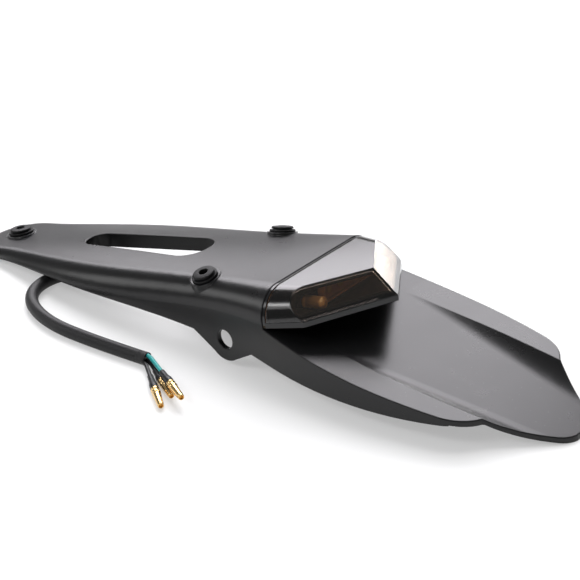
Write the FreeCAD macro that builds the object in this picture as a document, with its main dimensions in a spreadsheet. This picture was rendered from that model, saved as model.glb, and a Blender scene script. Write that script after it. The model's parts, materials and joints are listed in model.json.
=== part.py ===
import FreeCAD, Part
import Sketcher
import math
import os

doc = FreeCAD.newDocument("rear_fender")
sheet = doc.addObject("Spreadsheet::Sheet", "Sizes")

# Driving sizes in millimetres and degrees, measured from the middle of the rear grommet pair
driving = {
    "wall": 3,
    # Mounting grommets: front one to the rear pair, and across the pair
    "grommetLength": 173.7,
    "grommetPitch": 72,
    "grommetLean": 16,
    "grommetDrop": 1.2,
    "grommetHole": 5.2,
    "grommetBore": 2.5,
    "grommetFlange": 7.5,
    "bossHigh": 1.2,
    "bossDeep": 3.2,
    # Tray: the seam with the light, top half widths, shoulder and crown radii from nose to seam
    "seam": 49.4,
    "noseSet": 2.7,
    "flat0": 19.4,
    "flat1": 20.2,
    "round0": 9.8,
    "round1": 10.2,
    "round2": 12.5,
    "round3": 14,
    "round4": 14.5,
    "round5": 18,
    "crown0": 600,
    "crown1": 400,
    "crown2": 230,
    "crown3": 280,
    "crown4": 450,
    "crown5": 6000,
    # Slot in the tray and the lip round it
    "slotRearAt": 26,
    "slotLength": 91,
    "slotFrontSide": 9.5,
    "slotRearSide": 14.5,
    "slotFrontRound": 8.3,
    "slotRearRound": 13.4,
    "slotLip": 2.4,
    "slotLipDeep": 7,
    # Flap: drop at the seam, slopes of floor and shelves, outline back to the tongue
    "flapLength": 158.1,
    "flapDrop": 20,
    "floorSlope": 0.403,
    "shelfSlope": 0.327,
    "rimCurve": 250,
    "cornerSide": 40.5,
    "cornerCurve": 24,
    "stepSide": 30.5,
    "tongueSide": 16,
    "tongueFlat": 6,
    "tongueCurve": 17,
    "shelfBend": 40,
    "channelFront": 49.5,
    "channelBlend": 28,
    # Lower edges and the lugs for the indicators
    "noseDeep": 3.7,
    "sideDeep": 37.2,
    "edgeCurve": 960,
    "skirtCurve": 600,
    "lugHole": 5.75,
    "lugHem": 12.6,
    "lugTurn": 6,
    # Tail light
    "baseThick": 2,
    "baseDeep": 3.2,
    "sealThick": 0.8,
    "sealInset": 0.7,
    "lensWall": 2.4,
    "lensInset": 0.3,
    "apexReach": 39.4,
    "apexLean": 0.92,
    "windowReach": 15.3,
    "windowSide": 38.5,
    # Fixings, board and light sources inside the light
    "fixSide": 29,
    "insertRadius": 3,
    "insertReach": 22.6,
    "insertBore": 2,
    "screwHeadHigh": 2.4,
    "driveRadius": 1.4,
    "driveDeep": 1.3,
    "boardReach": 16.6,
    "boardThick": 1.6,
    "bezelThick": 3,
    "bezelBorder": 1.8,
    "ledSize": 5,
    "ledThick": 1.2,
    # Cable, leads and bullet terminals
    "cableRadius": 3.85,
    "glandFlangeHigh": 2.5,
    "leadRadius": 1.2,
    "leadSleeve": 2.3,
    "bulletBody": 2.2,
    "bulletCrimp": 5,
    "bulletEnd": 18,
}

# Sizes that follow from the driving ones
derived = {
    "zero": "0",
    "noseAt": "noseSet - grommetLength",
    "wallFace": "seam - wall",
    "station0": "noseAt",
    "station1": "noseAt + 11",
    "station2": "noseAt + 51",
    "station3": "-40",
    "station4": "seam - 37.4",
    "station5": "seam",
    "flat2": "flat4 - 7",
    "flat3": "flat4 - 2",
    "flat4": "grommetPitch / 2 - 3",
    "flat5": "flat4 + 3",
    "noseTop": "crown0 - sqrt(crown0 * crown0 - flat0 * flat0)",
    "inNoseTop": "noseTop - wall",
    # Reach of the blocks that only cut away or stand in for solid
    "deep": "70",
    "deepFlap": "110",
    "high": "20",
    "wideCut": "240",
    "holeLength": "30",
    "farSide": "90",
    # Flap
    "tongueEnd": "seam + flapLength",
    "tongueAt": "tongueEnd - 5.5",
    "stepAt": "tongueEnd - 23",
    "cornerAt": "tongueEnd - 34.5",
    "rimEnd": "tongueEnd - 50.5",
    "rimSide": "side5 + 1",
    "endAt": "tongueEnd + 15",
    "flapStart": "seam - 2",
    "flapStartWide": "side5 - 1.2",
    "shelfAt": "seam + 29.1",
    "shelfZ": "flapDrop + floorSlope * (shelfAt - seam)",
    "topAt": "seam - 12",
    "topZ": "flapDrop - floorSlope * 12",
    "bendAt": "shelfAt + shelfBend",
    "bendSlope": "(shelfSlope + floorSlope - 0.02) / 2",
    "bendZ": "shelfZ + bendSlope * shelfBend",
    "bendCurve": "shelfBend * 1.18 / (floorSlope - shelfSlope - 0.02)",
    "shelfEndZ": "bendZ + shelfSlope * (endAt - bendAt)",
    "floorEndZ": "shelfZ + floorSlope * (endAt - shelfAt)",
    "plate": "wall * 1.06",
    "inShelfZ": "shelfZ + plate",
    "inBendZ": "bendZ + plate",
    "inTopZ": "topZ + plate",
    "inShelfEndZ": "shelfEndZ + plate",
    "inFloorEndZ": "floorEndZ + plate",
    "inFlapStart": "seam - 8",
    "inFlapWide": "side5 - wall",
    "inFlapStartWide": "side5 - wall - 1.5",
    "inRimEnd": "rimEnd + 4",
    "inRimSide": "rimSide - wall",
    "openSide": "rimSide + 20",
    # Channel between the shelves: level floor, a round corner, then a flare of 45 degrees
    "channelRear": "stepSide + 1.5",
    "channelEnd": "channelFront - (channelFront - channelRear) * (endAt - shelfAt) / (stepAt - shelfAt)",
    "blendIn": "channelBlend * 0.4142",
    "blendOut": "blendIn * 0.7071",
    "blendUp": "blendIn * 0.7071",
    "channelRise": "24",
    "channelRun": "channelRise",
    # Lower edges
    "cutFront": "noseTip - 30",
    "notchAt": "seam - 13.4",
    "lugAt": "seam - 32.9",
    "lugZ": "sideDeep - 5.8",
    "edgeLug": "lugAt - 23.5",
    "edgeLugZ": "sideDeep - 9.2",
    "lugFrontAt": "lugAt - lugHem * 0.78",
    "lugFrontZ": "lugZ + lugHem * 0.6258",
    "lugRearAt": "lugAt + lugHem * 0.46",
    "lugRearZ": "lugZ + lugHem * 0.888",
    "lugSide": "side4 - wall / 2 + 0.4",
    "skirtEnd": "tongueEnd - 43.5",
    "skirtEndZ": "bendZ + shelfSlope * (skirtEnd - bendAt) + wall",
    "skirtInner": "cornerSide + 0.5",
    # Slot, its lip and the grommet bosses
    "slotRear": "-slotRearAt",
    "slotFront": "slotRear - slotLength",
    "lipFront": "slotFront - slotLip",
    "lipRear": "slotRear + slotLip",
    "lipFrontSide": "slotFrontSide + slotLip",
    "lipRearSide": "slotRearSide + slotLip",
    "lipFrontRound": "slotFrontRound + slotLip",
    "lipRearRound": "slotRearRound + slotLip",
    "lipHigh": "slotLipDeep - 1",
    "slotCutHigh": "slotLipDeep + 10",
    "slotCutLow": "slotLipDeep + 5",
    "bossSide": "grommetFlange + 1.5",
    "bossLength": "bossHigh + bossDeep",
    "spotLength": "12",
    "spotSide": "grommetFlange + 0.6",
    "gLow": "bossDeep + 2",
    "gFlangeTop": "bossHigh + 1.4",
    "gGrooveTop": "bossHigh + 2",
    "gTop": "bossHigh + 3.4",
    "gGroove": "grommetFlange - 1.9",
    "gCrown": "grommetFlange - 1.1",
    "gLowSide": "grommetFlange - 0.5",
    # Lens and its facets, which lean back as they go down
    "sealAt": "seam + baseThick",
    "lensAt": "sealAt + sealThick",
    "lensEnd": "seam + 62.6",
    "lensFlat": "flat5 - lensInset",
    "lensRound": "round5 - lensInset",
    "lensSide": "lensFlat + lensRound",
    "lensTop": "lensInset",
    "lensTurn": "lensTop + lensRound",
    "lensEndFlat": "lensFlat - 12.2",
    "lensEndRound": "lensRound - 6",
    "lensEndSide": "lensEndFlat + lensEndRound",
    "lensEndTop": "lensTop + 2.7",
    "lensEndTurn": "lensEndTop + lensEndRound",
    "lensFloor": "flapDrop - 3.5",
    "lensDeep": "lensFloor + 15.5",
    "apexAt": "seam + apexReach",
    "apexZ": "lensTop + 1.6",
    "windowSlope": "(apexReach - windowReach) / windowSide",
    "facetHigh": "6",
    "facetLow": "lensFloor + 13.5",
    "facetSide": "lensSide + 21.3",
    "facetEnd": "lensEnd + 40",
    "facetHighAt": "apexAt - apexLean * (apexZ + facetHigh)",
    "facetLowAt": "apexAt + apexLean * (facetLow - apexZ)",
    "facetHighEdge": "facetHighAt - windowSlope * facetSide",
    "facetLowEdge": "facetLowAt - windowSlope * facetSide",
    "facetStep": "lensWall * 1.5",
    "inFacetHighAt": "facetHighAt - facetStep",
    "inFacetLowAt": "facetLowAt - facetStep",
    "inFacetHighEdge": "facetHighEdge - facetStep",
    "inFacetLowEdge": "facetLowEdge - facetStep",
    "inLensRound": "lensRound - lensWall",
    "inLensSide": "lensSide - lensWall",
    "inLensTop": "lensTop + lensWall",
    "inLensEndRound": "lensEndRound - lensWall",
    "inLensEndSide": "lensEndSide - lensWall",
    "inLensEndTop": "lensEndTop + lensWall",
    "cavityAt": "lensAt - 0.5",
    "sealRound": "lensRound - sealInset",
    "sealSide": "lensSide - sealInset",
    "sealTop": "lensTop + sealInset",
    # Housing under the lens
    "baseLow": "flapDrop - 0.4",
    "baseFloorZ": "lensFloor + baseDeep",
    "baseApex": "apexAt + apexLean * (lensFloor - apexZ)",
    "sideTaper": "(lensSide - lensEndSide) / (lensEnd - lensAt)",
    "cornerReach": "lensSide - sideTaper * (baseApex - lensAt)",
    "baseCornerSide": "cornerReach / (1 - sideTaper * windowSlope)",
    "baseCornerAt": "baseApex - windowSlope * baseCornerSide",
    "reliefAt": "seam - 1",
    "reliefEnd": "seam + 8",
    "reliefLow": "baseLow + 30",
    # Fixings and inner pieces
    "fixZ": "lensFloor - 3.7",
    "fixClear": "insertBore + 0.2",
    "fixClearLength": "wall + baseThick + 2",
    "fixBoreLength": "12",
    "insertLength": "insertReach - baseThick",
    "sleeveRadius": "insertRadius + 1.2",
    "sleeveLength": "10",
    "screwLength": "wall + baseThick + 8",
    "screwHead": "insertRadius + 0.8",
    "boardAt": "seam + boardReach",
    "boardWide": "2 * (fixSide - 6)",
    "boardHigh": "lensFloor - 4.3",
    "bezelWindowWide": "boardWide - 2 * bezelBorder",
    "bezelWindowHigh": "boardHigh - 2 * bezelBorder",
    "bezelCut": "bezelThick + 2",
    # Cable bush, leads and bullets
    "glandRadius": "cableRadius + 2.15",
    "glandHole": "glandRadius + 0.05",
    "glandLength": "wall + baseThick",
    "glandFlange": "glandRadius + 1.2",
    "cableZ": "lensFloor - glandRadius - 0.1",
    "bulletNeck": "bulletBody - 0.4",
    "bulletTip": "bulletBody - 0.6",
    "sleeveThin": "leadRadius + 0.35",
    "bulletWaist": "bulletCrimp + 1.2",
    "bulletShoulder": "bulletCrimp + 2.2",
    "bulletNose": "bulletEnd - 2.5",
    # Pose: nose tip and tongue touch the table, and the origin is under the middle
    "noseReach": "flat0 + sqrt(round0 * round0 - (round0 - noseDeep) * (round0 - noseDeep))",
    "noseTip": "noseAt - noseReach",
    "tongueUnder": "shelfZ + floorSlope * (tongueEnd - shelfAt) + plate",
    "pitch": "atan((tongueUnder - noseDeep) / (tongueEnd - noseTip)) / 1 deg",
    "lift": "tongueUnder * cos(pitch * 1 deg) - tongueEnd * sin(pitch * 1 deg)",
    "frontMost": "noseTip * cos(pitch * 1 deg) + noseDeep * sin(pitch * 1 deg)",
    "rearMost": "tongueEnd * cos(pitch * 1 deg) + tongueUnder * sin(pitch * 1 deg)",
    "shift": "-(frontMost + rearMost) / 2",
}
stations = ["0", "1", "2", "3", "4", "5"]
for s in stations:
    derived["side" + s] = "flat%s + round%s" % (s, s)
    derived["inRound" + s] = "round%s - wall" % s
    derived["inSide" + s] = "side%s - wall" % s
for kind in ("slot", "lip"):
    derived[kind + "FrontTurn"] = "%sFront + %sFrontRound" % (kind, kind)
    derived[kind + "RearTurn"] = "%sRear - %sRearRound" % (kind, kind)
    derived[kind + "FrontEnd"] = "%sFrontSide - %sFrontRound" % (kind, kind)
    derived[kind + "RearEnd"] = "%sRearSide - %sRearRound" % (kind, kind)
for kind in ("Front", "End"):
    for pre, low in (("", "shelfZ" if kind == "Front" else "floorEndZ"),
                     ("in", "inShelfZ" if kind == "Front" else "inFloorEndZ")):
        derived[pre + "channel" + kind + "FloorSide"] = "channel%s - blendIn" % kind
        derived[pre + "channel" + kind + "BlendSide"] = "channel%s + blendOut" % kind
        derived[pre + "channel" + kind + "BlendZ"] = "%s - blendUp" % low
        derived[pre + "channel" + kind + "TopSide"] = "channel%s + channelRun" % kind
        derived[pre + "channel" + kind + "TopZ"] = "%s - channelRise" % low
rows = [(name, str(number)) for name, number in driving.items()]
rows += [(name, "=" + rule) for name, rule in derived.items()]
for i, (name, content) in enumerate(rows):
    sheet.set("A%d" % (i + 1), name)
    sheet.setAlias("B%d" % (i + 1), name)
for i, (name, content) in enumerate(rows):
    sheet.set("B%d" % (i + 1), content)
doc.recompute()


# Value of a size, with an optional minus sign before its name
def value(token):
    if token.startswith("-"):
        return -value(token[1:])
    return float(sheet.get(token))


# Expression that binds a property to a size
def bound(token):
    if token.startswith("-"):
        return "-Sizes." + token[1:]
    return "Sizes." + token


# Sketch on an origin plane of a body, each corner bound to two named sizes
# A corner is (across, up) or (across, up, radius, turn) when an arc leads on from it
def outline(body, label, plane, offset, corners):
    sketch = body.newObject("Sketcher::SketchObject", label)
    index = {"XY": 3, "XZ": 4, "YZ": 5}[plane]
    sketch.AttachmentSupport = [(body.Origin.OriginFeatures[index], "")]
    sketch.MapMode = "FlatFace"
    sketch.setExpression("AttachmentOffset.Base.z", bound(offset))
    points = [FreeCAD.Vector(value(c[0]), value(c[1]), 0) for c in corners]
    count = len(corners)
    for i in range(count):
        start = points[i]
        end = points[(i + 1) % count]
        if len(corners[i]) == 2:
            sketch.addGeometry(Part.LineSegment(start, end), False)
        else:
            sketch.addGeometry(arcThrough(start, end, value(corners[i][2]), corners[i][3]), False)
    for i in range(count):
        here = startOf(corners[i])
        before = (i - 1) % count
        sketch.addConstraint(Sketcher.Constraint("Coincident", before, endOf(corners[before]), i, here))
    for i in range(count):
        here = startOf(corners[i])
        across = ("DistanceX", corners[i][0], points[i].x)
        up = ("DistanceY", corners[i][1], points[i].y)
        for axis, token, number in (across, up):
            place = sketch.addConstraint(Sketcher.Constraint(axis, -1, 1, i, here, number))
            sketch.setExpression("Constraints[%d]" % place, bound(token))
        if len(corners[i]) > 2:
            place = sketch.addConstraint(Sketcher.Constraint("Radius", i, value(corners[i][2])))
            sketch.setExpression("Constraints[%d]" % place, bound(corners[i][2]))
    return sketch


# Vertex number of a segment's start and end: an arc is stored anticlockwise
def startOf(corner):
    return 2 if len(corner) > 2 and corner[3] == "cw" else 1


def endOf(corner):
    return 1 if len(corner) > 2 and corner[3] == "cw" else 2


# Short arc of a given radius from one point to another
def arcThrough(start, end, radius, turn):
    chord = end - start
    half = chord.Length / 2
    rise = math.sqrt(max(radius * radius - half * half, 0))
    left = FreeCAD.Vector(-chord.y, chord.x, 0).normalize()
    if turn == "cw":
        left = left * -1
    centre = (start + end) * 0.5 + left * rise
    first = math.atan2(start.y - centre.y, start.x - centre.x)
    last = math.atan2(end.y - centre.y, end.x - centre.x)
    circle = Part.Circle(centre, FreeCAD.Vector(0, 0, 1), radius)
    if turn == "cw":
        first, last = last, first
    return Part.ArcOfCircle(circle, first, last)


def newBody(label):
    body = doc.addObject("PartDesign::Body", label)
    body.Label = label
    return body


def pad(body, label, sketch, length, symmetric=False, reverse=False):
    feature = body.newObject("PartDesign::Pad", label)
    feature.Profile = sketch
    feature.setExpression("Length", bound(length))
    if symmetric:
        feature.SideType = "Symmetric"
    feature.Reversed = reverse
    body.Tip = feature
    return feature


def pocket(body, label, sketch, length, symmetric=False, reverse=False):
    feature = body.newObject("PartDesign::Pocket", label)
    feature.Profile = sketch
    feature.setExpression("Length", bound(length))
    if symmetric:
        feature.SideType = "Symmetric"
    feature.Reversed = reverse
    body.Tip = feature
    return feature


def loft(body, label, sketches, ruled, cut=False):
    kind = "PartDesign::SubtractiveLoft" if cut else "PartDesign::AdditiveLoft"
    feature = body.newObject(kind, label)
    feature.Profile = sketches[0]
    feature.Sections = sketches[1:]
    feature.Ruled = ruled
    body.Tip = feature
    return feature


# Arched section: crowned top, two round shoulders, straight sides
def arch(body, label, at, flat, rounding, side, top, turn, low, crown):
    return outline(body, label, "YZ", at, [
        ("-" + side, "-" + low),
        ("-" + side, "-" + turn, rounding, "cw"),
        ("-" + flat, "-" + top, crown, "cw"),
        (flat, "-" + top, rounding, "cw"),
        (side, "-" + turn),
        (side, "-" + low),
    ])


# Front tray, as an outer block and as the hollow under it
def tray(label, inner):
    body = newBody(label)
    top = "wall" if inner else "zero"
    rounding = "inRound" if inner else "round"
    side = "inSide" if inner else "side"
    sections = []
    for s in stations:
        at = "wallFace" if inner and s == "5" else "station" + s
        sections.append(arch(body, label + "Section" + s, at, "flat" + s, rounding + s,
                             side + s, top, "round" + s, "deep", "crown" + s))
    loft(body, label + "Loft", sections, False)
    nose = outline(body, label + "NoseSection", "YZ", "station0", [
        ("zero", "inNoseTop" if inner else "noseTop", "crown0", "cw"),
        ("flat0", "-" + top, rounding + "0", "cw"),
        (side + "0", "-round0"),
        (side + "0", "-deep"),
        ("zero", "-deep"),
    ])
    turn = body.newObject("PartDesign::Revolution", label + "Nose")
    turn.Profile = nose
    turn.ReferenceAxis = (nose, ["V_Axis"])
    turn.Angle = 180
    body.Tip = turn
    return body


# Rear flap, as an outer block and as the hollow under it
def flap(label, inner):
    body = newBody(label)
    if inner:
        plan = [
            ("inFlapStart", "-inFlapStartWide"),
            ("seam", "-inFlapWide", "rimCurve", "ccw"),
            ("inRimEnd", "-inRimSide"),
            ("inRimEnd", "-openSide"),
            ("endAt", "-openSide"),
            ("endAt", "openSide"),
            ("inRimEnd", "openSide"),
            ("inRimEnd", "inRimSide", "rimCurve", "ccw"),
            ("seam", "inFlapWide"),
            ("inFlapStart", "inFlapStartWide"),
        ]
        above = [
            ("inFlapStart", "high"),
            ("topAt", "-inTopZ"),
            ("shelfAt", "-inShelfZ", "bendCurve", "ccw"),
            ("bendAt", "-inBendZ"),
            ("endAt", "-inShelfEndZ"),
            ("endAt", "high"),
        ]
    else:
        plan = [
            ("flapStart", "-flapStartWide"),
            ("seam", "-side5", "rimCurve", "ccw"),
            ("rimEnd", "-rimSide", "cornerCurve", "ccw"),
            ("cornerAt", "-cornerSide"),
            ("stepAt", "-stepSide"),
            ("tongueAt", "-tongueSide", "tongueCurve", "ccw"),
            ("tongueEnd", "-tongueFlat"),
            ("tongueEnd", "tongueFlat", "tongueCurve", "ccw"),
            ("tongueAt", "tongueSide"),
            ("stepAt", "stepSide"),
            ("cornerAt", "cornerSide", "cornerCurve", "ccw"),
            ("rimEnd", "rimSide", "rimCurve", "ccw"),
            ("seam", "side5"),
            ("flapStart", "flapStartWide"),
        ]
        above = [
            ("topAt", "high"),
            ("topAt", "-topZ"),
            ("shelfAt", "-shelfZ", "bendCurve", "ccw"),
            ("bendAt", "-bendZ"),
            ("endAt", "-shelfEndZ"),
            ("endAt", "high"),
        ]
    base = outline(body, label + "Plan", "XY", "-deepFlap", plan)
    pad(body, label + "Block", base, "deepFlap")
    cover = outline(body, label + "Above", "XZ", "zero", above)
    pocket(body, label + "Top", cover, "wideCut", True)
    pre = "in" if inner else ""
    front = channel(body, label + "ChannelFront", "shelfAt", pre + "channelFront",
                    "inShelfZ" if inner else "shelfZ")
    rear = channel(body, label + "ChannelRear", "endAt", pre + "channelEnd",
                   "inFloorEndZ" if inner else "floorEndZ")
    loft(body, label + "Channel", [front, rear], True, True)
    return body


# Channel section: level floor, round corners and flared sides
def channel(body, label, at, name, lowZ):
    return outline(body, label, "YZ", at, [
        ("-" + name + "FloorSide", "-" + lowZ),
        (name + "FloorSide", "-" + lowZ, "channelBlend", "ccw"),
        (name + "BlendSide", "-" + name + "BlendZ"),
        (name + "TopSide", "-" + name + "TopZ"),
        ("-" + name + "TopSide", "-" + name + "TopZ"),
        ("-" + name + "BlendSide", "-" + name + "BlendZ", "channelBlend", "ccw"),
    ])


# Straight round bar along a direction, used for bosses, holes and pins
def rod(label, radius, height, base, direction):
    bar = doc.addObject("Part::Cylinder", label)
    bar.Label = label
    bar.setExpression("Radius", bound(radius))
    bar.setExpression("Height", bound(height))
    bar.Placement = FreeCAD.Placement(base, FreeCAD.Rotation(FreeCAD.Vector(0, 0, 1), direction))
    return bar


def box(label, corner, length, width, height):
    block = doc.addObject("Part::Box", label)
    block.Label = label
    block.setExpression("Length", bound(length))
    block.setExpression("Width", bound(width))
    block.setExpression("Height", bound(height))
    block.Placement.Base = FreeCAD.Vector(corner[0], corner[1], corner[2])
    return block


def fuse(label, shapes):
    result = doc.addObject("Part::MultiFuse", label)
    result.Label = label
    result.Shapes = shapes
    result.Refine = True
    return result


def cut(label, base, tool):
    result = doc.addObject("Part::Cut", label)
    result.Label = label
    result.Base = base
    result.Tool = tool
    result.Refine = True
    return result


# Block across the part with an upright outline
def acrossBlock(label, corners, offset, length, symmetric=False, reverse=False):
    body = newBody(label)
    sketch = outline(body, label + "Side", "XZ", offset, corners)
    pad(body, label + "Pad", sketch, length, symmetric, reverse)
    return body


# Block that rises from a plan outline
def risingBlock(label, corners, offset, length):
    body = newBody(label)
    sketch = outline(body, label + "Plan", "XY", offset, corners)
    pad(body, label + "Pad", sketch, length)
    return body


# Fender: hollow moulding with slot lip and grommet bosses
outerTray = tray("outerTray", False)
hollowTray = tray("hollowTray", True)
outerFlap = flap("outerFlap", False)
hollowFlap = flap("hollowFlap", True)
blank = fuse("blank", [outerTray, outerFlap])
hollow = fuse("hollow", [hollowTray, hollowFlap])
shell = cut("shell", blank, hollow)


def slotPlan(kind):
    return [
        (kind + "FrontTurn", "-" + kind + "FrontSide"),
        (kind + "RearTurn", "-" + kind + "RearSide", kind + "RearRound", "ccw"),
        (kind + "Rear", "-" + kind + "RearEnd"),
        (kind + "Rear", kind + "RearEnd", kind + "RearRound", "ccw"),
        (kind + "RearTurn", kind + "RearSide"),
        (kind + "FrontTurn", kind + "FrontSide", kind + "FrontRound", "ccw"),
        (kind + "Front", kind + "FrontEnd"),
        (kind + "Front", "-" + kind + "FrontEnd", kind + "FrontRound", "ccw"),
    ]


lip = risingBlock("lip", slotPlan("lip"), "-slotLipDeep", "lipHigh")
slot = risingBlock("slot", slotPlan("slot"), "-slotCutLow", "slotCutHigh")

lean = math.radians(value("grommetLean"))
half = value("grommetPitch") / 2
drop = value("grommetDrop")
seats = {
    "front": (FreeCAD.Vector(-value("grommetLength"), 0, 0), FreeCAD.Vector(0, 0, 1)),
    "left": (FreeCAD.Vector(0, -half, -drop), FreeCAD.Vector(0, -math.sin(lean), math.cos(lean))),
    "right": (FreeCAD.Vector(0, half, -drop), FreeCAD.Vector(0, math.sin(lean), math.cos(lean))),
}
bosses = []
removed = [slot]
for name in ("front", "left", "right"):
    place, up = seats[name]
    under = place - up * value("bossDeep")
    bosses.append(rod("boss_" + name, "bossSide", "bossLength", under, up))
    removed.append(rod("hole_" + name, "grommetHole", "holeLength", place - up * 15, up))
    removed.append(rod("spot_" + name, "spotSide", "spotLength", under - up * value("spotLength"), up))

# Lower edges of nose, lugs and skirts
removed.append(acrossBlock("frontEdge", [
    ("cutFront", "-deepFlap"),
    ("cutFront", "-noseDeep"),
    ("noseTip", "-noseDeep", "edgeCurve", "cw"),
    ("edgeLug", "-edgeLugZ"),
    ("lugFrontAt", "-lugFrontZ", "lugHem", "ccw"),
    ("lugRearAt", "-lugRearZ"),
    ("notchAt", "-sideDeep"),
    ("notchAt", "-deepFlap"),
], "zero", "wideCut", True))
skirt = [
    ("notchAt", "-deepFlap"),
    ("notchAt", "-sideDeep", "skirtCurve", "ccw"),
    ("skirtEnd", "-skirtEndZ"),
    ("skirtEnd", "-deepFlap"),
]
removed.append(acrossBlock("skirtLeft", skirt, "skirtInner", "farSide"))
removed.append(acrossBlock("skirtRight", skirt, "-skirtInner", "farSide", False, True))

# Cross holes in the lugs, holes for the light's screws and its cable
alongX = FreeCAD.Vector(1, 0, 0)
wallFace = value("wallFace")
fixZ = -value("fixZ")
fixSides = {"left": -value("fixSide"), "right": value("fixSide")}
cableZ = -value("cableZ")
lugTurn = math.radians(value("lugTurn"))
for name, hand in (("left", -1), ("right", 1)):
    outward = FreeCAD.Vector(-math.sin(lugTurn), hand * math.cos(lugTurn), 0)
    middle = FreeCAD.Vector(value("lugAt"), hand * value("lugSide"), -value("lugZ"))
    removed.append(rod("lugHole_" + name, "lugHole", "holeLength",
                       middle - outward * (value("holeLength") / 2), outward))
cableStart = FreeCAD.Vector(wallFace - 10, 0, cableZ)
removed.append(rod("cableHole", "glandHole", "holeLength", cableStart, alongX))
for name in fixSides:
    removed.append(rod("screwHole_" + name, "fixClear", "fixClearLength",
                       FreeCAD.Vector(wallFace - 1, fixSides[name], fixZ), alongX))

# Lip and bosses join the shell one after another, and the openings are cut in the same way
moulding = shell
for extra in [lip] + bosses:
    moulding = fuse("with_" + extra.Label, [moulding, extra])
for tool in removed[:-1]:
    moulding = cut("without_" + tool.Label, moulding, tool)
fender = cut("fender_body", moulding, removed[-1])

# Mounting grommet, turned about its own axis
def grommet(label):
    body = newBody(label)
    section = outline(body, label + "Section", "XZ", "zero", [
        ("grommetBore", "-gLow"),
        ("gLowSide", "-gLow"),
        ("gLowSide", "-bossDeep"),
        ("grommetHole", "-bossDeep"),
        ("grommetHole", "bossHigh"),
        ("grommetFlange", "bossHigh"),
        ("grommetFlange", "gFlangeTop"),
        ("gGroove", "gFlangeTop"),
        ("gGroove", "gGrooveTop"),
        ("gCrown", "gGrooveTop"),
        ("gCrown", "gTop"),
        ("grommetBore", "gTop"),
    ])
    turn = body.newObject("PartDesign::Revolution", label + "Turn")
    turn.Profile = section
    turn.ReferenceAxis = (section, ["V_Axis"])
    turn.Angle = 360
    body.Tip = turn
    return body


# Tail light: housing
housing = newBody("housing")
plate = arch(housing, "housingPlate", "seam", "lensFlat", "lensRound", "lensSide", "lensTop",
             "lensTurn", "baseLow", "crown5")
pad(housing, "housingFront", plate, "baseThick")
floorPlan = outline(housing, "housingPlan", "XY", "-baseFloorZ", [
    ("sealAt", "-lensSide"),
    ("baseCornerAt", "-baseCornerSide"),
    ("baseApex", "zero"),
    ("baseCornerAt", "baseCornerSide"),
    ("sealAt", "lensSide"),
])
pad(housing, "housingFloor", floorPlan, "baseDeep")
relief = outline(housing, "housingReliefSide", "XZ", "zero", [
    ("reliefAt", "-baseLow"),
    ("seam", "-baseLow"),
    ("reliefEnd", "-baseFloorZ"),
    ("reliefEnd", "-reliefLow"),
    ("reliefAt", "-reliefLow"),
])
pocket(housing, "housingRelief", relief, "wideCut", True)
sealAt = value("sealAt")
sleeves = []
bores = [rod("baseCableHole", "glandHole", "holeLength", cableStart, alongX)]
for name in fixSides:
    start = FreeCAD.Vector(sealAt, fixSides[name], fixZ)
    sleeves.append(rod("baseSleeve_" + name, "sleeveRadius", "sleeveLength", start, alongX))
    bores.append(rod("insertHole_" + name, "insertRadius", "holeLength", start, alongX))
    bores.append(rod("baseScrewHole_" + name, "fixClear", "fixClearLength",
                     FreeCAD.Vector(wallFace - 1, fixSides[name], fixZ), alongX))
base = cut("light_base", fuse("housingSleeved", [housing] + sleeves), fuse("housingBores", bores))

# Tail light: seal and lens
belowPlan = [
    ("reliefAt", "-facetSide"),
    ("facetEnd", "-facetSide"),
    ("facetEnd", "facetSide"),
    ("reliefAt", "facetSide"),
]


def trimBelow(body, label):
    under = outline(body, label + "UnderPlan", "XY", "-lensFloor", belowPlan)
    pocket(body, label + "Under", under, "lensDeep")


gasket = newBody("light_gasket")
ring = arch(gasket, "gasketSection", "sealAt", "lensFlat", "sealRound", "sealSide", "sealTop",
            "lensTurn", "lensDeep", "crown5")
pad(gasket, "gasketPlate", ring, "sealThick")
opening = arch(gasket, "gasketOpening", "sealAt", "lensFlat", "inLensRound", "inLensSide", "inLensTop",
               "lensTurn", "lensDeep", "crown5")
pocket(gasket, "gasketInside", opening, "sealThick", False, True)
trimBelow(gasket, "gasket")


# Cap of the lens, as an outer block and as its cavity
def cap(label, inner):
    body = newBody(label)
    start = "cavityAt" if inner else "lensAt"
    ends = []
    for end, at, name in (("Front", start, "Lens"), ("Rear", "lensEnd", "LensEnd")):
        outer = name[0].lower() + name[1:]
        skin = "in" + name if inner else outer
        ends.append(arch(body, label + end, at, outer + "Flat", skin + "Round", skin + "Side", skin + "Top",
                         outer + "Turn", "lensDeep", "crown5"))
    loft(body, label + "Loft", ends, True)
    if not inner:
        trimBelow(body, label)
    pre = "inFacet" if inner else "facet"
    levels = []
    for level, height in (("High", "facetHigh"), ("Low", "-facetLow")):
        levels.append(outline(body, label + "Facet" + level, "XY", height, [
            (pre + level + "At", "zero"),
            (pre + level + "Edge", "facetSide"),
            ("facetEnd", "facetSide"),
            ("facetEnd", "-facetSide"),
            (pre + level + "Edge", "-facetSide"),
        ]))
    loft(body, label + "Facets", levels, True, True)
    return body


lens = cut("tail_lens", cap("lensBlock", False), cap("lensCavity", True))

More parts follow.
